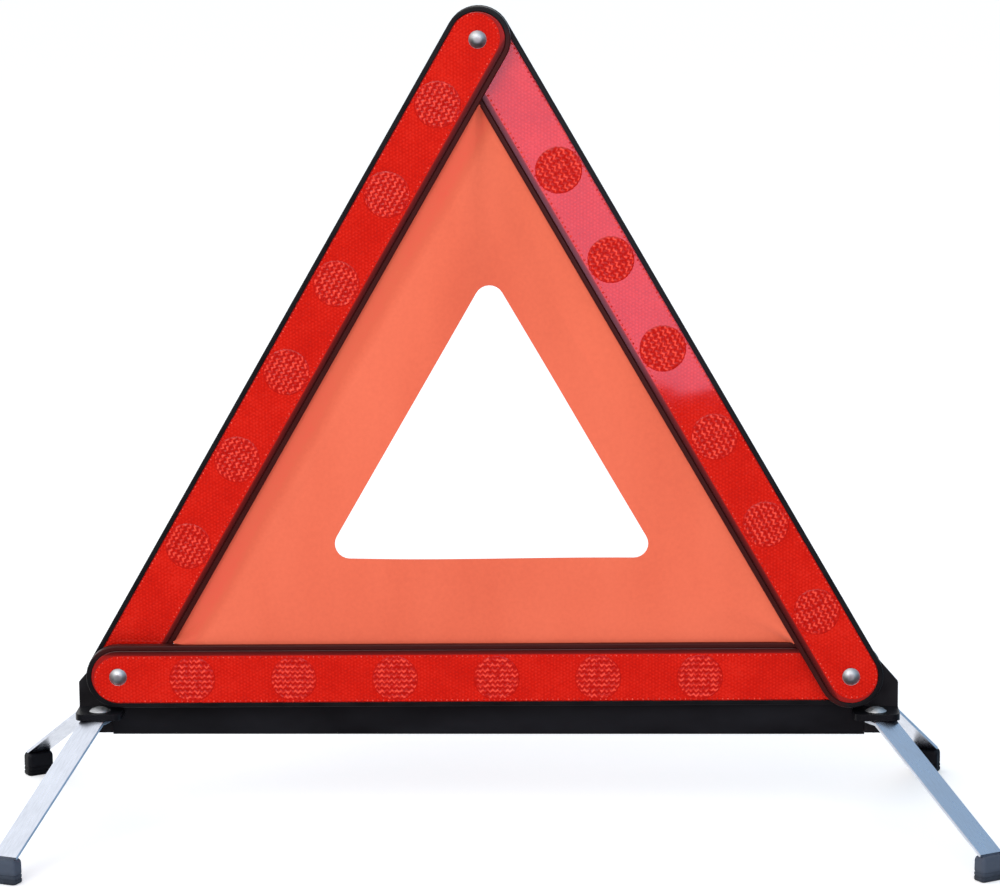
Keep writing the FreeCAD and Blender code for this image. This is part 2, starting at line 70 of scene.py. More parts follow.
# Sizes of a bar: half its width, half its thickness, the lens that lies in its tray, and the prism zone
# on the lens, which is shifted outwards and holds a row of round marks.
BAR_HALF = 17.5 * MM
BAR_FACE = 2.75 * MM
LENS_HALF = BAR_HALF - 2.7 * MM
LENS_BACK = BAR_FACE - 2.4 * MM
ZONE_HALF = 13.25 * MM
ZONE_SHIFT = -1.55 * MM
MARK_RADIUS = 12.6 * MM
MARK_FIRST = 40.6 * MM
MARK_PITCH = 55.5 * MM
MARK_COUNT = 6


# --- small mesh tools -------------------------------------------------------------------------------

def bar_matrix(turn):
    """The frame of a bar: x along it, y towards the inside, z towards the viewer, at its front rivet."""
    angle, tilt = math.radians(turn), math.radians(turn - 60)
    along = Vector((math.cos(angle), LEAN, math.sin(angle))).normalized()
    normal = Vector((2 * LEAN * math.cos(tilt), -1, 2 * LEAN * math.sin(tilt))).normalized()
    inward = normal.cross(along)
    reach = SPACING / math.sqrt(3)
    corner = math.radians(turn - 150)
    origin = Vector((APEX_PIN.x + reach * math.cos(corner), RIGHT_PIN.y,
                     RIGHT_PIN.z + reach / 2 + reach * math.sin(corner)))
    matrix = Matrix((along, inward, normal)).transposed().to_4x4()
    matrix.translation = origin
    return matrix


def stadium(radius, shift, z):
    """A round-ended loop about the two rivets of a bar, at height z and shifted towards the inside."""
    steps = 20
    points = []
    for centre, start in ((0, 90), (BAR_LENGTH, -90)):
        for i in range(steps + 1):
            angle = math.radians(start + 180 * i / steps)
            points.append(Vector((centre + radius * math.cos(angle), shift + radius * math.sin(angle), z)))
    return points


def rounded_rectangle(half_x, half_y, radius, z):
    """A rectangle loop with round corners, at height z."""
    steps = 5
    points = []
    for corner, (sx, sy) in enumerate(((1, 1), (-1, 1), (-1, -1), (1, -1))):
        for i in range(steps + 1):
            angle = math.radians(90 * corner + 90 * i / steps)
            points.append(Vector((sx * (half_x - radius) + radius * math.cos(angle),
                                  sy * (half_y - radius) + radius * math.sin(angle), z)))
    return points


def loft(bm, loops, wall_material=0):
    """A closed solid through loops of equal length, with quads for its wall and a face at each end."""
    rings = [[bm.verts.new(point) for point in loop] for loop in loops]
    count = len(rings[0])
    for low, high in zip(rings, rings[1:]):
        for i in range(count):
            k = (i + 1) % count
            bm.faces.new((low[i], low[k], high[k], high[i])).material_index = wall_material
    bm.faces.new(list(reversed(rings[0])))
    bm.faces.new(rings[-1])


def quarter(outer, inner, low, high, up=True):
    """(offset, height) pairs of a rounded edge from a wall up to a face, or from a face up to a wall."""
    steps = 3
    pairs = []
    for i in range(steps + 1):
        angle = math.radians(90 * i / steps)
        if up:
            across, rise = math.cos(angle), math.sin(angle)
        else:
            across, rise = math.sin(angle), 1 - math.cos(angle)
        pairs.append((inner + (outer - inner) * across, low + (high - low) * rise))
    return pairs


def add_box(bm, low, high, bevel):
    """A box with bevelled edges."""
    made = bmesh.ops.create_cube(bm, size=1)["verts"]
    centre, size = (low + high) / 2, high - low
    for vert in made:
        vert.co = centre + Vector(vert.co[i] * size[i] for i in range(3))
    edges = list(dict.fromkeys(edge for vert in made for edge in vert.link_edges))
    bmesh.ops.bevel(bm, geom=edges, offset=bevel, segments=2, affect="EDGES", profile=0.6)


def smooth(mesh):
    """Smooth shading, with the edges above 35 degrees kept sharp."""
    bm = bmesh.new()
    bm.from_mesh(mesh)
    limit = math.radians(35)
    for edge in bm.edges:
        edge.smooth = len(edge.link_faces) == 2 and edge.calc_face_angle(0) < limit
    for face in bm.faces:
        face.smooth = True
    bm.to_mesh(mesh)
    bm.free()


def remember_places(mesh):
    """Store each point's own-frame place, which the materials follow."""
    layer = mesh.attributes.new("local", "FLOAT_VECTOR", "POINT")
    for i, vert in enumerate(mesh.vertices):
        layer.data[i].vector = vert.co


def piece(bm, name, body, materials, replaced=(), matrix=None, crisp=True):
    """Turn a bmesh made in a local frame into an object that rides on a CAD body; crisp ones get flat faces
    between their rounded edges."""
    bmesh.ops.recalc_face_normals(bm, faces=bm.faces)
    mesh = bpy.data.meshes.new(name)
    bm.to_mesh(mesh)
    bm.free()
    remember_places(mesh)
    if matrix:
        mesh.transform(matrix)
    smooth(mesh)
    for material in materials:
        mesh.materials.append(material)
    obj = bpy.data.objects.new(name, mesh)
    bpy.context.scene.collection.objects.link(obj)
    if crisp:
        weighted = obj.modifiers.new("flat_faces", "WEIGHTED_NORMAL")
        weighted.weight = 100
        weighted.keep_sharp = True
    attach(obj, body)
    if replaced:
        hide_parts(*replaced)
    return obj


# --- node tools ---------------------------------------------------------------------------------------

class Shader:
    """A Principled material and short calls for the nodes that feed it."""

    def __init__(self, name, color=None, **sockets):
        self.material = bpy.data.materials.new(name)
        self.material.use_nodes = True
        self.tree = self.material.node_tree
        self.bsdf = self.tree.nodes["Principled BSDF"]
        if color:
            self.bsdf.inputs["Base Color"].default_value = (*color, 1)
        for socket, number in sockets.items():
            self.bsdf.inputs[socket.replace("_", " ")].default_value = number

    def add(self, kind, **settings):
        made = self.tree.nodes.new(kind)
        for name, setting in settings.items():
            setattr(made, name, setting)
        return made

    def link(self, source, target):
        self.tree.links.new(source, target)

    def set(self, socket, source):
        self.link(source, self.bsdf.inputs[socket])

    def place(self):
        """The own-frame place stored on the mesh."""
        return self.add("ShaderNodeAttribute", attribute_name="local").outputs["Vector"]

    def object_place(self):
        """The place in the object's frame, which carried-over nodes have too."""
        return self.add("ShaderNodeTexCoord").outputs["Object"]

    def math(self, operation, first, second=0.0):
        made = self.add("ShaderNodeMath", operation=operation)
        for index, value in enumerate((first, second)):
            if isinstance(value, (int, float)):
                made.inputs[index].default_value = value
            else:
                self.link(value, made.inputs[index])
        return made.outputs[0]

    def wave(self, place, direction):
        """The cosine of the place along a direction whose length is the wave number."""
        dot = self.add("ShaderNodeVectorMath", operation="DOT_PRODUCT")
        self.link(place, dot.inputs[0])
        dot.inputs[1].default_value = direction
        return self.math("COSINE", dot.outputs["Value"])

    def noise(self, place, scale, stretch=(1, 1, 1), detail=4, turn=0):
        """Cloudy noise; a stretch below 1 draws it out along that axis, and the axes turn about z."""
        mapping = self.add("ShaderNodeMapping", vector_type="TEXTURE")
        mapping.inputs["Rotation"].default_value = (0, 0, turn)
        mapping.inputs["Scale"].default_value = [1 / share for share in stretch]
        self.link(place, mapping.inputs["Vector"])
        texture = self.add("ShaderNodeTexNoise")
        texture.inputs["Scale"].default_value = scale
        texture.inputs["Detail"].default_value = detail
        self.link(mapping.outputs[0], texture.inputs["Vector"])
        return texture.outputs["Fac"]

    def span(self, source, low, high, to_low, to_high):
        """The source, clamped to low..high, carried over to to_low..to_high."""
        made = self.add("ShaderNodeMapRange")
        for index, number in enumerate((low, high, to_low, to_high), start=1):
            made.inputs[index].default_value = number
        self.link(source, made.inputs[0])
        return made.outputs[0]

    def ramp(self, source, *stops):
        """A colour ramp with (position, (r, g, b)) stops."""
        made = self.add("ShaderNodeValToRGB")
        elements = made.color_ramp.elements
        while len(elements) < len(stops):
            elements.new(0.5)
        for element, (position, color) in zip(elements, stops):
            element.position = position
            element.color = (*color, 1)
        self.link(source, made.inputs[0])
        return made.outputs[0]

    def bump(self, height, strength, depth):
        made = self.add("ShaderNodeBump")
        made.inputs["Strength"].default_value = strength
        made.inputs["Distance"].default_value = depth
        self.link(height, made.inputs["Height"])
        return made.outputs[0]


# --- materials ----------------------------------------------------------------------------------------

def hexagons(shader, place, pitch):
    """A honeycomb height field, from three waves at 60 degrees."""
    number = 2 * math.pi / (pitch * math.sqrt(3) / 2)
    total = None
    for angle in (0, 60, 120):
        turn = math.radians(angle)
        wave = shader.wave(place, (number * math.cos(turn), number * math.sin(turn), 0))
        total = wave if total is None else shader.math("ADD", total, wave)
    return total


def red_prisms():
    """Clear red acrylic over a honeycomb of prisms."""
    shader = Shader("red_prisms", Roughness=0.4, IOR=1.49, Coat_Weight=1.0, Coat_Roughness=0.05,
                    Coat_IOR=1.49, Specular_IOR_Level=0.05)
    place = shader.place()
    cells = hexagons(shader, place, 2.0 * MM)
    cloud = shader.noise(place, 55, detail=3)
    grain = shader.noise(place, 900, detail=2)
    mixed = shader.math("ADD", shader.span(cells, -1.5, 3, 0.15, 0.45),
                        shader.math("MULTIPLY", shader.math("ADD", cloud, grain), 0.55))
    shader.set("Base Color", shader.ramp(mixed, (0.40, (0.44, 0.0035, 0.0008)),
                                         (0.80, (0.57, 0.0070, 0.0013)), (1.0, (0.66, 0.015, 0.006))))
    shader.set("Normal", shader.bump(cells, 0.35, 0.12 * MM))
    ripple = shader.noise(place, 24, detail=1)
    shader.set("Coat Normal", shader.bump(ripple, 0.35, 0.5 * MM))
    return shader.material


def lens_border():
    """The plain edge of the lens, dark where it lies on the black tray."""
    shader = Shader("lens_border", Roughness=0.3, IOR=1.49, Coat_Weight=0.5, Coat_Roughness=0.1,
                    Specular_IOR_Level=0.2)
    place = shader.place()
    split = shader.add("ShaderNodeSeparateXYZ")
    shader.link(place, split.inputs[0])
    across = shader.span(split.outputs["Y"], 11.6 * MM, 14.8 * MM, 0, 1)
    cloud = shader.noise(place, 160, stretch=(0.3, 1, 1), detail=3)
    mixed = shader.math("ADD", across, shader.math("MULTIPLY", cloud, 0.12))
    shader.set("Base Color", shader.ramp(mixed, (0.05, (0.30, 0.006, 0.004)), (0.35, (0.13, 0.004, 0.003)),
                                         (0.9, (0.045, 0.0025, 0.0022))))
    return shader.material


def red_marks():
    """The relief of the round marks, with a painted highlight that makes its crests lighter."""
    shader = Shader("red_marks", Roughness=0.4, IOR=1.49, Coat_Weight=0.4, Coat_Roughness=0.12,
                    Specular_IOR_Level=0.05)
    crest_highlight = shader.add("ShaderNodeAttribute", attribute_name="crest_highlight").outputs["Fac"]
    place = shader.place()
    speckle = shader.noise(place, 1400, detail=2)
    patches = shader.noise(place, 330, detail=2)
    # Painted highlight: the crest weight lifts the colour towards the light end of the ramp, broken up by
    # patches.
    broken_highlight = shader.math("MULTIPLY", crest_highlight, shader.span(patches, 0.35, 0.6, 0.25, 1.1))
    uneven = shader.math("MULTIPLY", shader.math("SUBTRACT", speckle, 0.5), 0.25)
    mixed = shader.math("ADD", broken_highlight, uneven)
    shader.set("Base Color", shader.ramp(mixed, (0.2, (0.43, 0.0040, 0.0010)), (0.5, (0.56, 0.009, 0.004)),
                                         (0.9, (0.80, 0.060, 0.034))))
    shader.set("Normal", shader.bump(speckle, 0.2, 0.05 * MM))
    return shader.material


def black_plastic():
    """Satin black moulding with a fine spark texture and a little dust."""
    shader = Shader("bracket_plastic", IOR=1.5, Specular_IOR_Level=0.3)
    place = shader.object_place()
    grain = shader.noise(place, 2600, detail=2)
    dust = shader.noise(place, 70, detail=6)
    shader.set("Base Color", shader.ramp(dust, (0.35, (0.0050, 0.0042, 0.0055)),
                                         (0.75, (0.0125, 0.0125, 0.0150))))
    shader.set("Roughness", shader.span(dust, 0.3, 0.8, 0.38, 0.56))
    shader.set("Normal", shader.bump(grain, 0.25, 0.03 * MM))
    return shader.material


def tray_plastic():
    """Satin black moulding with a painted red reflection of the sheet along its edge next to the sheet."""
    shader = Shader("tray_plastic", IOR=1.5, Specular_IOR_Level=0.2)
    place = shader.place()
    grain = shader.noise(place, 2600, detail=2)
    dust = shader.noise(place, 70, detail=6)
    split = shader.add("ShaderNodeSeparateXYZ")
    shader.link(place, split.inputs[0])
    # Painted reflection: towards the inner edge, next to the sheet, the black turns red as if lit by the
    # sheet; the dust only lightens the black a little.
    inner = shader.span(split.outputs["Y"], 0.5 * BAR_HALF, 0.9 * BAR_HALF, 0.0, 0.8)
    mixed = shader.math("ADD", inner, shader.math("MULTIPLY", dust, 0.2))
    shader.set("Base Color", shader.ramp(mixed, (0.05, (0.0045, 0.0040, 0.0050)),
                                         (0.15, (0.0085, 0.0080, 0.0095)),
                                         (0.9, (0.046, 0.0032, 0.0022))))
    shader.set("Roughness", shader.span(dust, 0.3, 0.8, 0.32, 0.5))
    shader.set("Normal", shader.bump(grain, 0.2, 0.03 * MM))
    return shader.material


def black_paint():
    """Powder coat with its orange peel."""
    shader = Shader("black_powder_coat", IOR=1.5, Specular_IOR_Level=0.22, Coat_Weight=0.1,
                    Coat_Roughness=0.22)
    place = shader.object_place()
    peel = shader.noise(place, 900, detail=2)
    dust = shader.noise(place, 40, stretch=(0.4, 1, 1), detail=5)
    shader.set("Base Color", shader.ramp(dust, (0.3, (0.0030, 0.0028, 0.0038)),
                                         (0.8, (0.0090, 0.0100, 0.0140))))
    shader.set("Roughness", shader.span(dust, 0.3, 0.8, 0.34, 0.5))
    shader.set("Normal", shader.bump(peel, 0.3, 0.05 * MM))
    return shader.material


def rolled_steel(name, heading):
    """Zinc plated strip, with rolling lines along the heading."""
    tone = (0.80, 0.85, 0.96)
    shader = Shader(name, Metallic=1.0)
    place = shader.object_place()
    lines = shader.noise(place, 1200, stretch=(0.02, 1, 0.3), detail=3, turn=heading)
    cloud = shader.noise(place, 60, detail=4)
    shade = shader.math("ADD", shader.math("MULTIPLY", lines, 0.6), shader.math("MULTIPLY", cloud, 0.4))
    dark = tuple(0.84 * channel for channel in tone)
    shader.set("Base Color", shader.ramp(shade, (0.3, dark), (0.6, tone)))
    shader.set("Roughness", shader.span(shade, 0.3, 0.7, 0.36, 0.24))
    shader.set("Normal", shader.bump(lines, 0.06, 0.04 * MM))
    return shader.material


def bright_rivet():
    """Formed zinc plated heads with small tool marks."""
    shader = Shader("zinc_rivet", Metallic=1.0)
    place = shader.object_place()
    dents = shader.noise(place, 500, detail=4)
    cloud = shader.noise(place, 160, detail=3)
    shader.set("Base Color", shader.ramp(cloud, (0.3, (0.50, 0.51, 0.53)), (0.7, (0.80, 0.81, 0.82))))
    shader.set("Roughness", shader.span(dents, 0.3, 0.7, 0.58, 0.42))
    shader.set("Normal", shader.bump(dents, 0.25, 0.08 * MM))
    return shader.material


def foot_rubber(name, tone):
    """Soft plastic with random scuffs, darker towards the sole."""
    shader = Shader(name, IOR=1.5, Specular_IOR_Level=0.2)
    place = shader.place()
    scuff = shader.noise(place, 350, detail=5)
    split = shader.add("ShaderNodeSeparateXYZ")
    shader.link(place, split.inputs[0])
    # The colour darkens towards the sole.
    height = shader.span(split.outputs["Z"], 0, 9 * MM, 0, 1)
    mixed = shader.math("ADD", shader.math("MULTIPLY", height, 0.7), shader.math("MULTIPLY", scuff, 0.4))
    dark = tuple(0.3 * channel for channel in tone)
    shader.set("Base Color", shader.ramp(mixed, (0.2, dark), (0.75, tone)))
    shader.set("Roughness", shader.span(scuff, 0.3, 0.8, 0.48, 0.75))
    shader.set("Normal", shader.bump(scuff, 0.3, 0.08 * MM))
    return shader.material


def fluorescent_fabric():
    """Coated fluorescent cloth: a fine plain weave that glows a little, with a redder, slightly darker band
    of painted shade beside the left bar.
    """
    shader = Shader("fluorescent_fabric", Sheen_Weight=0.08, Sheen_Roughness=0.5, IOR=1.45,
                    Specular_IOR_Level=0.2, Emission_Strength=0.08)
    shader.bsdf.inputs["Emission Color"].default_value = (1.0, 0.20, 0.11, 1)
    place = shader.place()
    number = 2 * math.pi / (0.55 * MM)
    warp = shader.wave(place, (number, 0, 0))
    weft = shader.wave(place, (0, 0, number))
    weave = shader.math("MULTIPLY", warp, weft)
    cloud = shader.noise(place, 14, stretch=(1, 1, 0.35), detail=3)
    fibre = shader.noise(place, 500, detail=3)
    mixed = shader.math("ADD", shader.math("MULTIPLY", cloud, 0.75), shader.math("MULTIPLY", fibre, 0.25))
    outward = math.radians(LEFT_TURN - 90)
    towards_left_bar = Vector((math.cos(outward), 0, math.sin(outward)))
    edge = APEX_PIN.dot(towards_left_bar) - BAR_HALF
    side = shader.add("ShaderNodeVectorMath", operation="DOT_PRODUCT")
    shader.link(place, side.inputs[0])
    side.inputs[1].default_value = towards_left_bar
    # Painted shade: a band of the cloth beside the left bar is moved down the ramp to redder, slightly darker
    # tones.
    painted_shade_band = shader.span(side.outputs["Value"], edge - 15 * MM, edge - 8 * MM, 0.0, 0.3)
    mixed = shader.math("SUBTRACT", mixed, painted_shade_band)
    shader.set("Base Color", shader.ramp(mixed, (0.14, (0.645, 0.080, 0.044)), (0.34, (0.61, 0.100, 0.048)),
                                         (0.5, (0.665, 0.120, 0.059)), (0.7, (0.72, 0.142, 0.073))))
    shader.set("Roughness", shader.span(fibre, 0.3, 0.7, 0.55, 0.72))
    shader.set("Normal", shader.bump(weave, 0.12, 0.05 * MM))
    return shader.material


RED = red_prisms()
BORDER = lens_border()
MARKS = red_marks()
TRAY = tray_plastic()
MOULDING = black_plastic()
COAT = black_paint()
RIVET = bright_rivet()
# The rear feet are a shaded copy of the front feet's slate rubber: their near-black tone is painted shade.
RUBBER = {"front": foot_rubber("slate_rubber", (0.058, 0.074, 0.104)),
          "rear": foot_rubber("rear_rubber_painted_shade", (0.0055, 0.0060, 0.0090))}
FABRIC = fluorescent_fabric()


# --- reflector bars -----------------------------------------------------------------------------------

def hook_cutter():
    """The mouth that slides off the lower left rivet, as a solid to cut with."""
    mouth, flare, past = 2.5 * MM, 7 * MM, 1 * MM
    bm = bmesh.new()
    outline = [Vector((BAR_LENGTH + mouth * math.cos(math.radians(a)), mouth * math.sin(math.radians(a)), 0))
               for a in range(180, 361, 15)]
    outline += [Vector((BAR_LENGTH + mouth + past, BAR_HALF + past, 0)),
                Vector((BAR_LENGTH - mouth - flare, BAR_HALF + past, 0))]
    depth = Vector((0, 0, 2 * BAR_FACE))
    loft(bm, [[point - depth for point in outline], [point + depth for point in outline]])
    bmesh.ops.recalc_face_normals(bm, faces=bm.faces)
    mesh = bpy.data.meshes.new("hook_cutter")
    bm.to_mesh(mesh)
    bm.free()
    cutter = bpy.data.objects.new("hook_cutter", mesh)
    bpy.context.scene.collection.objects.link(cutter)
    return cutter


def cut_hook(bm):
    """A bmesh in the bar's own frame with the hook mouth cut out; the one handed in is used up."""
    bmesh.ops.recalc_face_normals(bm, faces=bm.faces)
    mesh = bpy.data.meshes.new("hooked")
    bm.to_mesh(mesh)
    bm.free()
    # Two empty slots, so that the faces keep their material numbers through the boolean.
    for _ in range(2):
        mesh.materials.append(None)
    blank = bpy.data.objects.new("hooked", mesh)
    bpy.context.scene.collection.objects.link(blank)
    cutter = hook_cutter()
    boolean = blank.modifiers.new("hook", "BOOLEAN")
    boolean.operation = "DIFFERENCE"
    boolean.solver = "EXACT"
    boolean.object = cutter
    bpy.context.view_layer.update()
    evaluated = blank.evaluated_get(bpy.context.evaluated_depsgraph_get())
    result = bmesh.new()
    result.from_mesh(evaluated.to_mesh())
    evaluated.to_mesh_clear()
    for obj in (blank, cutter):
        used = obj.data
        bpy.data.objects.remove(obj)
        bpy.data.meshes.remove(used)
    return result


def tray_shape():
    """The black tray: rounded outer edges, a rim round the lens and a recess in its back."""
    bm = bmesh.new()
    edge, lip = 0.7 * MM, 0.35 * MM
    wall, slope, recess = 2.2 * MM, 0.4 * MM, 0.5 * MM
    loops = [stadium(BAR_HALF - wall - slope, 0, -BAR_FACE + recess),
             stadium(BAR_HALF - wall, 0, -BAR_FACE)]
    loops += [stadium(r, 0, z) for r, z in quarter(BAR_HALF, BAR_HALF - edge, -BAR_FACE, -BAR_FACE + edge,
                                                   up=False)]
    loops += [stadium(r, 0, z) for r, z in quarter(BAR_HALF, BAR_HALF - edge, BAR_FACE - edge, BAR_FACE)]
    loops += [stadium(LENS_HALF + lip, 0, BAR_FACE), stadium(LENS_HALF, 0, BAR_FACE - lip),
              stadium(LENS_HALF, 0, LENS_BACK)]
    loft(bm, loops)
    return bm


def add_ribs(bm):
    """Ribs across the recess in a tray's back, and two slightly lower ones along it."""
    bays, root, bevel = 16, -BAR_FACE + 0.8 * MM, 0.2 * MM
    half, gap = 0.6 * MM, 2 * MM
    for i in range(1, bays):
        x = BAR_LENGTH * i / bays
        add_box(bm, Vector((x - half, -BAR_HALF + gap, -BAR_FACE)),
                Vector((x + half, BAR_HALF - gap, root)), bevel)
    half, gap, lower = 0.5 * MM, 10 * MM, 0.1 * MM
    for side in (-1, 1):
        y = side * BAR_HALF / 2
        add_box(bm, Vector((gap, y - half, -BAR_FACE + lower)),
                Vector((BAR_LENGTH - gap, y + half, root)), bevel)


def lens_shape():
    """The lens: a rounded plate with the prism zone on it; its wall and border have material 1."""
    bm = bmesh.new()
    play, edge = 0.12 * MM, 0.4 * MM
    half = LENS_HALF - play
    loops = [stadium(half, 0, LENS_BACK)]
    loops += [stadium(r, 0, z) for r, z in quarter(half, half - edge, BAR_FACE - edge, BAR_FACE)]
    loops += [stadium(ZONE_HALF, ZONE_SHIFT, BAR_FACE)]
    loft(bm, loops, wall_material=1)
    return bm


def triangle_wave(number):
    """1 at whole numbers and 0 halfway between them."""
    return abs(2 * (number - math.floor(number)) - 1)


def zigzag(u, v):
    """Height from 0 to 1 at a place in a round mark: ridges along the bar that run in zigzags."""
    row, period, swing = 2.9 * MM, 2.7 * MM, 0.62 * MM
    shifted = v + swing * (triangle_wave(u / period) * 2 - 1)
    return min(1.0, 1.2 * (1 - triangle_wave(shifted / row)) ** 1.2)


def add_mark(bm, crest_highlight_layer, centre_u, seed):
    """One round mark: a fine polar grid raised into zigzag ridges, with a low rim and a sunk edge."""
    rings, spokes, height, sunk = 34, 148, 0.42 * MM, 0.02 * MM
    shift = random.Random(seed).uniform(0, 3.3 * MM)
    centre = bm.verts.new((centre_u, ZONE_SHIFT, BAR_FACE + height * 0.5))
    previous = None
    for ring in range(1, rings + 1):
        radius = MARK_RADIUS * ring / rings
        fade = min(1.0, (rings - ring) / 2)
        rim = 0.3 if rings - 3 <= ring < rings else 0.0
        current = []
        for spoke in range(spokes):
            angle = 2 * math.pi * spoke / spokes
            u, v = radius * math.cos(angle), radius * math.sin(angle)
            level = max(zigzag(u + shift, v) * fade, rim)
            vert = bm.verts.new((centre_u + u, ZONE_SHIFT + v, BAR_FACE + height * level - sunk))
            # The height level is also the weight of the painted highlight on the crests.
            vert[crest_highlight_layer] = level
            current.append(vert)
        for spoke in range(spokes):
            following = (spoke + 1) % spokes
            if previous is None:
                bm.faces.new((centre, current[spoke], current[following]))
            else:
                bm.faces.new((previous[spoke], current[spoke], current[following], previous[following]))
        previous = current


def add_bead(bm, crest_highlight_layer, u, v):
    """A small dome on the lens."""
    radius, height, sides = 0.6 * MM, 0.28 * MM, 8
    top = bm.verts.new((u, v, BAR_FACE + height))
    # Painted highlight weights: strongest on the bead's top, weak at its foot.
    top[crest_highlight_layer] = 0.9
    rings = []
    for share, level, crest_highlight in ((0.55, 0.8, 0.8), (1.0, -0.05, 0.3)):
        ring = []
        for i in range(sides):
            angle = 2 * math.pi * i / sides
            vert = bm.verts.new((u + radius * share * math.cos(angle), v + radius * share * math.sin(angle),
                                 BAR_FACE + height * level))
            vert[crest_highlight_layer] = crest_highlight
            ring.append(vert)
        rings.append(ring)
    for i in range(sides):
        k = (i + 1) % sides
        bm.faces.new((top, rings[0][i], rings[0][k]))
        bm.faces.new((rings[0][i], rings[1][i], rings[1][k], rings[0][k]))


def relief_shape(seed, hooked):
    """The round marks, and the row of beads along both edges of the prism zone and round its front."""
    bm = bmesh.new()
    # Each point carries a weight for the painted highlight on the crests.
    crest_highlight_layer = bm.verts.layers.float.new("crest_highlight")
    for i in range(MARK_COUNT):
        add_mark(bm, crest_highlight_layer, MARK_FIRST + MARK_PITCH * i, seed + i)
    pitch, inset = 2.9 * MM, ZONE_HALF - 0.9 * MM
    last = BAR_LENGTH - (12 * MM if hooked else 3 * MM)
    for i in range(int(last / pitch)):
        for side in (-1, 1):
            add_bead(bm, crest_highlight_layer, i * pitch, ZONE_SHIFT + side * inset)
    turns = int(math.pi * inset / pitch)
    for i in range(1, turns):
        angle = math.radians(90) + math.pi * i / turns
        add_bead(bm, crest_highlight_layer, inset * math.cos(angle), ZONE_SHIFT + inset * math.sin(angle))
    return bm


def reflector_bar(side, turn, body, hooked=False):
    """The tray, lens and relief of one bar."""
    matrix = bar_matrix(turn)
    tray, lens = tray_shape(), lens_shape()
    if hooked:
        tray, lens = cut_hook(tray), cut_hook(lens)
    add_ribs(tray)
    piece(tray, f"{side}_bar_tray", body, [TRAY], [f"{side}_bar_housing"], matrix)
    piece(lens, f"{side}_bar_cover", body, [RED, BORDER], [f"{side}_bar_lens"], matrix)
    piece(relief_shape(turn, hooked), f"{side}_bar_relief", body, [MARKS], matrix=matrix,
          crisp=False)


# --- steel, moulded and rubber parts from the frame --------------------------------------------------

def finish_node(node, material):
    """Give a carried-over node its material."""
    data = frame["nodes"][node].data
    data.materials.clear()
    data.materials.append(material)


def eased_copy(node, body, material, bevel):
    """A node's own shape with its flat faces merged and its edges rounded over."""
    weld, flat, sharp = 0.005 * MM, math.radians(1), math.radians(28)
    bm = bmesh.new()
    bm.from_mesh(frame["nodes"][node].data)
    bmesh.ops.remove_doubles(bm, verts=bm.verts, dist=weld)
    bmesh.ops.dissolve_limit(bm, angle_limit=flat, verts=bm.verts, edges=bm.edges)
    edges = [edge for edge in bm.edges if len(edge.link_faces) == 2 and edge.calc_face_angle(0) > sharp]
    bmesh.ops.bevel(bm, geom=edges, offset=bevel, segments=2, profile=0.6, affect="EDGES",
                    clamp_overlap=True)
    piece(bm, f"{node}_skin", body, [material], [node])


def shoe(side, end):
    """A foot: a rubber shoe with two grooves round it and a slot for the strip in its top."""
    name = f"{end}_{side}"
    joint = joints[f"{name}_leg_swing"]
    pivot = Vector(joint["pos_m"])
    low, high = (Vector(corner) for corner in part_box(f"{name}_foot"))
    middle = (low + high) / 2
    heading = math.atan2(middle.y - pivot.y, middle.x - pivot.x)
    half_x, half_y, corner_radius, height = 4.5 * MM, 7.9 * MM, 2.0 * MM, high.z - low.z
    # How far the wall is set in, and how high, up the shoe; both in millimetres.
    levels = [(1.0, 0.0), (0.25, 0.35), (0.0, 0.9), (0.0, 2.2), (0.3, 2.5), (0.3, 2.9), (0.05, 3.2),
              (0.05, 4.4), (0.35, 4.7), (0.35, 5.1), (0.1, 5.4), (0.15, 11.0), (0.35, 12.0),
              (0.8, 12.9), (1.7, height / MM)]
    loops = []
    for inset, z in levels:
        loops.append(rounded_rectangle(half_x - inset * MM, half_y - inset * MM,
                                       corner_radius - 0.4 * inset * MM, z * MM))
    slot_x, slot_y, slot_radius, slot_depth = 1.1 * MM, 7.15 * MM, 0.4 * MM, 2 * MM
    for z in (height, height - slot_depth):
        loops.append(rounded_rectangle(slot_x, slot_y, slot_radius, z))
    bm = bmesh.new()
    loft(bm, loops)
    matrix = Matrix.Translation((middle.x, middle.y, low.z)) @ Matrix.Rotation(heading, 4, "Z")
    # The rear shoes get the rubber with painted shade.
    piece(bm, f"{name}_shoe", f"{name}_leg", [RUBBER[end]], [f"{name}_foot"], matrix)


def rivet_loops(matrix, low, high, pin, head, rise, tail):
    """Circles up a formed rivet from low to high: its tail, its pin, and a head that rises to a dome with a
    shallow dimple. The pin, head and tail are given as radii."""
    lip, tail_height, dimple_depth, dimple_share, sides = 0.15 * MM, 1.2 * MM, 0.22 * MM, 0.46, 36
    sphere = (head ** 2 + rise ** 2) / (2 * rise)
    # The radius and the height of each circle.
    pairs = [(tail - 2 * lip, low), (tail, low + 2 * lip), (tail, low + tail_height - lip),
             (tail - lip, low + tail_height), (pin, low + tail_height), (pin, high - rise),
             (head - lip, high - rise), (head, high - rise + lip)]
    for share in (0.985, 0.95, 0.88, 0.79, 0.69, 0.59, 0.5, 0.43, 0.36, 0.29, 0.21, 0.12):
        radius = head * share
        dimple = dimple_depth * max(0.0, 1 - (share / dimple_share) ** 2) ** 1.5
        pairs.append((radius, high - sphere + math.sqrt(sphere ** 2 - radius ** 2) - dimple))
    turns = [2 * math.pi * i / sides for i in range(sides)]
    return [[matrix @ Vector((radius * math.cos(a), radius * math.sin(a), z)) for a in turns]
            for radius, z in pairs]


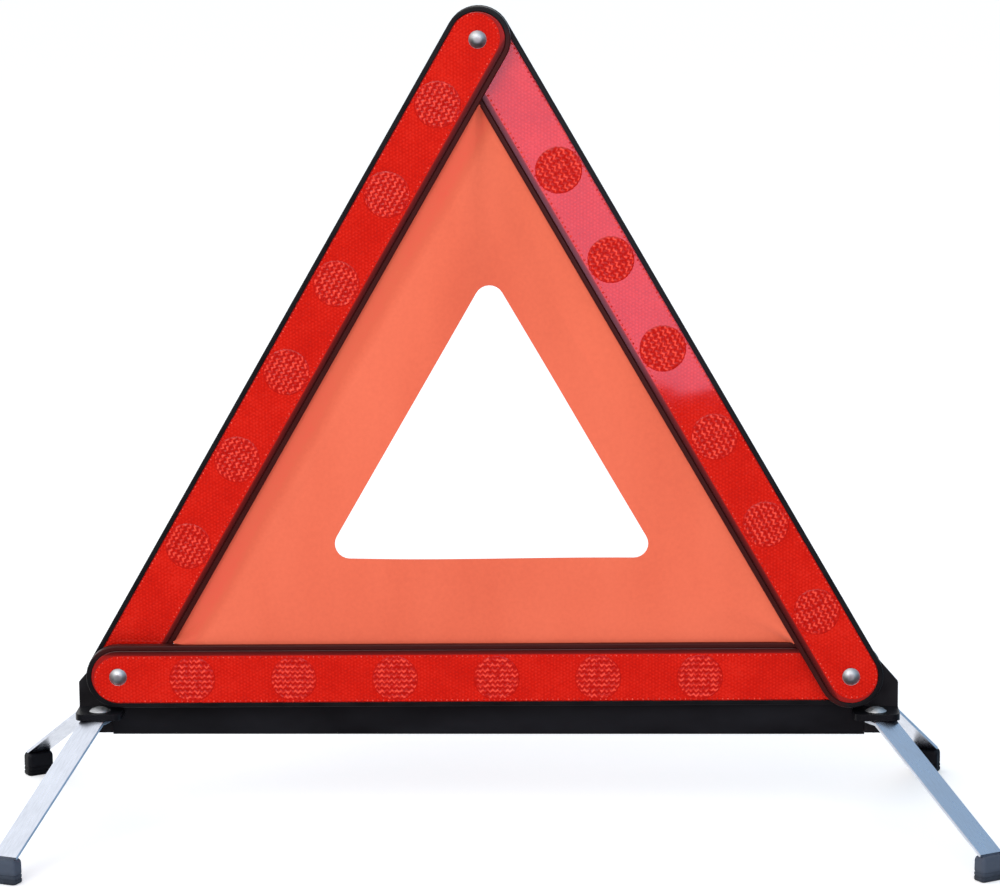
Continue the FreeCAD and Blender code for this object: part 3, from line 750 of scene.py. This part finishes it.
def formed_rivets(node, body, places, pin, head, rise, tail):
    """Every rivet of a node, at the places given as frames whose z runs towards the head."""
    bm = bmesh.new()
    for matrix in places:
        inverse = matrix.inverted()
        heights = [(inverse @ vert.co).z for vert in frame["nodes"][node].data.vertices]
        loft(bm, rivet_loops(matrix, min(heights), max(heights), pin, head, rise, tail))
    piece(bm, f"{node}_skin", body, [RIVET], [node], crisp=False)


# --- fluorescent sheet --------------------------------------------------------------------------------

def triangle_loop(radius, middle, corner_radius, per_side):
    """A triangle loop with round corners, in x and z: radius is from its middle to its sides, and each side
    and corner gets the same number of points as the others."""
    points = []
    arc_steps = 8
    for side in range(3):
        outward = math.radians(-90 + 120 * side)
        direction = Vector((-math.sin(outward), math.cos(outward)))
        normal = Vector((math.cos(outward), math.sin(outward)))
        run = math.sqrt(3) * (radius - corner_radius)
        start = normal * radius - direction * run
        for i in range(per_side):
            points.append(middle + start + direction * (2 * run * i / per_side))
        corner = start + direction * (2 * run) - normal * corner_radius
        for i in range(arc_steps):
            angle = outward + math.radians(120 * i / arc_steps)
            points.append(middle + corner + corner_radius * Vector((math.cos(angle), math.sin(angle))))
    return points


def sheet_depth(point, planes, inner_radius, centre):
    """How far back the sheet lies at a point in x and z: the bars hold its edges, and in between it has a
    fan of folds below the apex, waves across, and a fold beside the left bar, whose plane comes last."""
    total, weights, gaps = 0.0, 0.0, []
    for turn, matrix in planes:
        outward = math.radians(turn - 90)
        away = inner_radius - (point - centre).dot(Vector((math.cos(outward), math.sin(outward))))
        gaps.append(abs(away))
        normal = matrix.to_3x3() @ Vector((0, 0, 1))
        origin = matrix.translation
        depth = origin.y - (normal.x * (point.x - origin.x) + normal.z * (point.y - origin.z)) / normal.y
        weight = 1 / (abs(away) + 1.5 * MM) ** 3
        total += weight * depth
        weights += weight
    calm = min(1.0, min(gaps) / (20 * MM))
    left_gap = gaps[-1]
    apex = centre + Vector((0, 2 * inner_radius))
    reach, fan = (point - apex).length, math.atan2(point.x - apex.x, apex.y - point.y)
    wave = 0.55 * math.sin(15 * fan + 0.6) * math.exp(-reach / (170 * MM)) * min(1.0, reach / (60 * MM))
    wave += 0.8 * math.sin(point.x / (27 * MM) - 0.8)
    wave += 0.6 * math.sin(left_gap / (8 * MM)) * math.exp(-left_gap / (45 * MM))
    wave += 0.5 * math.sin((point.x * 0.5 - point.y * 0.86) / (19 * MM))
    return total / weights + wave * calm * calm * 1.3 * MM


def fluorescent_sheet():
    """The stretched cloth between the bars, lofted from its opening to its outer edge."""
    rivet_radius = SPACING / (2 * math.sqrt(3))
    centre = Vector((APEX_PIN.x, RIGHT_PIN.z + rivet_radius))
    inner_radius = rivet_radius - BAR_HALF
    tuck, outer_round = 1.2 * MM, 2.4 * MM
    opening_side, opening_round = 182 * MM, 8 * MM
    opening_middle = centre + Vector((4.8 * MM, 2.2 * MM))
    per_side, rows, thickness = 60, 34, 0.45 * MM
    full = inner_radius + tuck
    outer = triangle_loop(full, centre, outer_round, per_side)
    inner = triangle_loop(opening_side / (2 * math.sqrt(3)), opening_middle, opening_round, per_side)
    planes = [(turn, bar_matrix(turn)) for turn in (BASE_TURN, RIGHT_TURN, LEFT_TURN)]
    bm = bmesh.new()
    sides = []
    for back in (0, 1):
        grid = []
        for row in range(rows + 1):
            share = row / rows
            ring = []
            for low, high in zip(inner, outer):
                flat = low.lerp(high, share)
                depth = sheet_depth(flat, planes, inner_radius, centre) + back * thickness
                ring.append(bm.verts.new((flat.x, depth, flat.y)))
            grid.append(ring)
        sides.append(grid)
    count = len(inner)
    for grid in sides:
        for row in range(rows):
            for i in range(count):
                k = (i + 1) % count
                bm.faces.new((grid[row][i], grid[row][k], grid[row + 1][k], grid[row + 1][i]))
    for row in (0, rows):
        for i in range(count):
            k = (i + 1) % count
            bm.faces.new((sides[0][row][i], sides[0][row][k], sides[1][row][k], sides[1][row][i]))
    cloth = piece(bm, "fluorescent_cloth", "base", [FABRIC], ["fluorescent_sheet"],
                  crisp=False)
    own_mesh(cloth)


# --- build --------------------------------------------------------------------------------------------

reflector_bar("base", BASE_TURN, "base")
reflector_bar("right", RIGHT_TURN, "right_bar")
reflector_bar("left", LEFT_TURN, "left_bar", hooked=True)
fluorescent_sheet()

eased_copy("base_channel", "base", COAT, 0.3 * MM)
for side_name in ("left", "right"):
    eased_copy(f"{side_name}_end_bracket", "base", MOULDING, 0.35 * MM)
    eased_copy(f"{side_name}_leg_plate", "base", COAT, 0.5 * MM)
    for end_name in ("front", "rear"):
        leg = f"{end_name}_{side_name}_leg"
        pin = Vector(joints[f"{leg}_swing"]["pos_m"])
        foot_low, foot_high = (Vector(corner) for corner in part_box(f"{end_name}_{side_name}_foot"))
        reach = (foot_low + foot_high) / 2 - pin
        steel = rolled_steel(f"{leg}_steel", math.atan2(reach.y, reach.x))
        eased_copy(leg, leg, steel, 0.3 * MM)
        shoe(side_name, end_name)

for rivet_node, rivet_body, turn in (("lower_left_rivet", "base", BASE_TURN),
                                     ("lower_right_rivet", "base", RIGHT_TURN),
                                     ("apex_rivet", "right_bar", LEFT_TURN)):
    formed_rivets(rivet_node, rivet_body, [bar_matrix(turn)],
                  pin=2 * MM, head=4.8 * MM, rise=2.4 * MM, tail=3.8 * MM)
leg_pins = [Vector(joint["pos_m"]) for name, joint in joints.items() if name.endswith("_leg_swing")]
formed_rivets("leg_pivot_rivets", "base", [Matrix.Translation((pin.x, pin.y, 0)) for pin in leg_pins],
              pin=2.5 * MM, head=5.8 * MM, rise=2.4 * MM, tail=4.4 * MM)
formed_rivets("bracket_rivets", "base",
              [Matrix.Translation((pin.x, 0, 0)) for pin in leg_pins if pin.y < 0],
              pin=1.6 * MM, head=3 * MM, rise=1.4 * MM, tail=3 * MM)
for washer_node in ("base_corner_washers", "apex_washer"):
    finish_node(washer_node, MOULDING)
for side_name in ("base", "right", "left"):
    finish_node(f"{side_name}_bar_prism_plate", RED)


# --- stage, light and camera --------------------------------------------------------------------------

def area_light(name, place, target, width, height, power, color=(1, 1, 1)):
    """A soft box that looks at a target."""
    data = bpy.data.lights.new(name, "AREA")
    data.shape = "RECTANGLE"
    data.size, data.size_y = width, height
    data.energy = power
    data.color = color
    lamp = bpy.data.objects.new(name, data)
    lamp.location = place
    lamp.rotation_euler = (Vector(target) - Vector(place)).to_track_quat("-Z", "Y").to_euler()
    lamp.visible_camera = False
    bpy.context.scene.collection.objects.link(lamp)


def pale_floor():
    """A plain pale floor, a slab whose top is the ground."""
    half, thickness = 14.0, 0.02
    bm = bmesh.new()
    loft(bm, [[Vector((x * half, y * half, z)) for x, y in ((-1, -1), (1, -1), (1, 1), (-1, 1))]
              for z in (-thickness, 0)])
    bmesh.ops.recalc_face_normals(bm, faces=bm.faces)
    mesh = bpy.data.meshes.new("floor")
    bm.to_mesh(mesh)
    bm.free()
    shader = Shader("floor", color=(0.93, 0.93, 0.93), Roughness=0.85, Specular_IOR_Level=0.0,
                    Emission_Strength=0.32)
    shader.bsdf.inputs["Emission Color"].default_value = (1, 1, 1, 1)
    mesh.materials.append(shader.material)
    floor = bpy.data.objects.new("floor", mesh)
    floor.visible_glossy = False
    bpy.context.scene.collection.objects.link(floor)


def white_tent():
    """White surroundings, bluish towards the upper right and dark where they are low in front."""
    world = bpy.data.worlds.new("tent")
    bpy.context.scene.world = world
    world.use_nodes = True
    tree = world.node_tree
    background = tree.nodes["Background"]
    split = tree.nodes.new("ShaderNodeSeparateXYZ")
    tree.links.new(tree.nodes.new("ShaderNodeTexCoord").outputs["Generated"], split.inputs[0])

    def span(axis, low, high, to_low, to_high):
        made = tree.nodes.new("ShaderNodeMapRange")
        for index, number in enumerate((low, high, to_low, to_high), start=1):
            made.inputs[index].default_value = number
        tree.links.new(split.outputs[axis], made.inputs[0])
        return made.outputs[0]

    lit = tree.nodes.new("ShaderNodeMath")
    lit.operation = "MAXIMUM"
    tree.links.new(span("Z", 0.02, 0.3, 0.02, 1.0), lit.inputs[0])
    tree.links.new(span("Y", -0.1, 0.3, 0.02, 1.0), lit.inputs[1])
    tint = tree.nodes.new("ShaderNodeMix")
    tint.data_type = "RGBA"
    tint.inputs["A"].default_value = (1, 1, 1, 1)
    tint.inputs["B"].default_value = (0.28, 0.41, 0.55, 1)
    tree.links.new(span("X", 0.05, 0.35, 0.0, 1.0), tint.inputs["Factor"])
    tree.links.new(tint.outputs["Result"], background.inputs["Color"])
    tree.links.new(lit.outputs[0], background.inputs["Strength"])


def studio():
    """The tent, a large key from the upper left, a fill over the camera, and a card for the right bar."""
    white_tent()
    middle = (0, 0, 0.22)
    area_light("key", (-1.2, -2.3, 2.1), middle, width=1.9, height=1.5, power=24)
    area_light("front_fill", (0.3, -2.7, 1.5), middle, width=2.0, height=1.2, power=16)
    area_light("glare_card", (0.11, -1.5, 0.27), (0.08, 0, 0.30), width=0.30, height=0.34, power=1.15,
               color=(1.0, 0.61, 0.90))


def camera():
    """The camera, set by where it stands and how it is turned."""
    stand = Vector((0.0729, -2.003, 0.5748))
    pitch, yaw, roll = (math.radians(angle) for angle in (10.264, -1.859, -0.458))
    look = Vector((math.sin(yaw) * math.cos(pitch), math.cos(yaw) * math.cos(pitch), -math.sin(pitch)))
    data = bpy.data.cameras.new("camera")
    data.sensor_width = 36
    data.lens = 134.51
    data.clip_end = 60
    obj = bpy.data.objects.new("camera", data)
    obj.location = stand
    turn = look.to_track_quat("-Z", "Y").to_matrix()
    obj.rotation_euler = (turn @ Matrix.Rotation(roll, 3, "Z")).to_euler()
    bpy.context.scene.collection.objects.link(obj)
    bpy.context.scene.camera = obj


pale_floor()
studio()
camera()
bpy.context.scene.view_settings.view_transform = "Standard"
